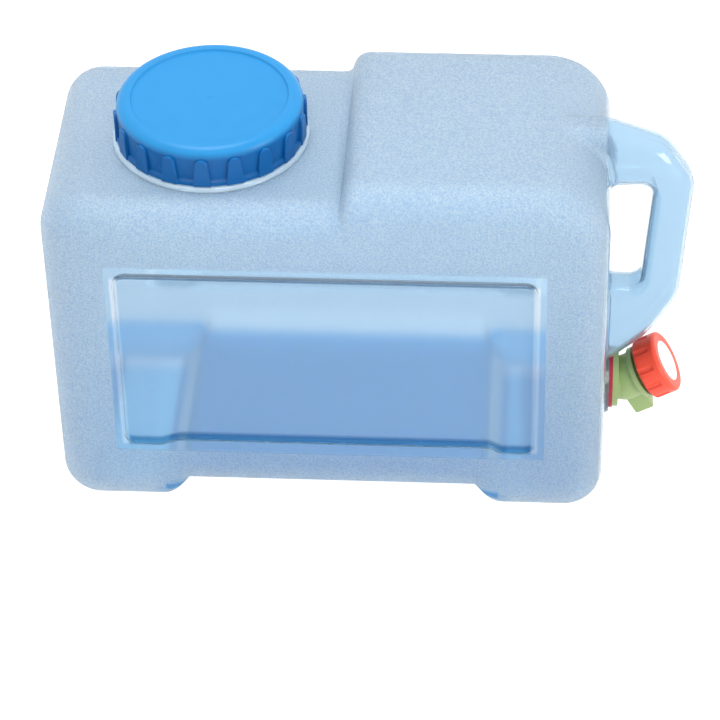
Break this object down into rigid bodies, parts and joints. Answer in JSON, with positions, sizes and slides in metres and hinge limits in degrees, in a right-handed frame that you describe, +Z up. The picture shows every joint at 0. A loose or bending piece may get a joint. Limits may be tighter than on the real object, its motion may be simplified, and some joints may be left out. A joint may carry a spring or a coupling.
{
  "type": "portable water container",
  "caption": "Portable blow-moulded water container lying on its long side, with a wide screw lid, a loop handle at one end and a twist tap below the handle.",
  "frame": {"origin": "on the ground, in the middle of the bounding box", "axes": "+Z up, +X from the lid end towards the handle and tap, -Y the front side seen in the picture"},
  "size_m": [0.3904, 0.162, 0.2626],
  "materials": {
    "clear_shell": "frosted translucent plastic, smooth on the window panels and the handle",
    "lid_blue": "satin",
    "tap_green": "satin",
    "knob_red": "satin",
    "disc_white": "satin",
    "seal_red": "matte",
    "seal_white": "matte",
    "seal_black": "matte",
    "stem_white": "satin",
    "steel": "brushed"
  },
  "bodies": {
    "container": {"container_body": "clear_shell", "tap_gasket_outer": "seal_red", "tap_body": "tap_green", "tap_gasket_inner": "seal_red", "tap_locknut": "tap_green"},
    "lid_seal": {"lid_gasket": "seal_white"},
    "lid": {"lid": "lid_blue"},
    "plunger": {"tap_stem": "stem_white", "stem_seal_inner": "seal_black", "stem_seal_outer": "seal_black", "valve_seal": "seal_black", "knob_washer": "steel", "knob_screw": "steel"},
    "knob": {"tap_knob": "knob_red", "knob_disc": "disc_white"}
  },
  "joints": [
    {"name": "lid_rise", "type": "slide", "parent": "container", "child": "lid_seal", "axis": [0, 0, 1], "range_m": [0, 0.0301]},
    {"name": "lid_turn", "type": "hinge", "parent": "lid_seal", "child": "lid", "pos_m": [-0.097, 0, 0.25], "axis": [0, 0, 1], "range_deg": [0, 1800]},
    {"name": "plunger_lift", "type": "slide", "parent": "container", "child": "plunger", "axis": [0.866, 0, 0.5], "range_m": [0, 0.0063]},
    {"name": "knob_turn", "type": "hinge", "parent": "plunger", "child": "knob", "pos_m": [0.159, 0, 0.047], "axis": [0.866, 0, 0.5], "range_deg": [0, 450]}
  ],
  "couplings": [
    {"joint": "lid_rise", "follows": "lid_turn", "m_per_rad": 0.00095493},
    {"joint": "plunger_lift", "follows": "knob_turn", "m_per_rad": 0.00079577}
  ]
}
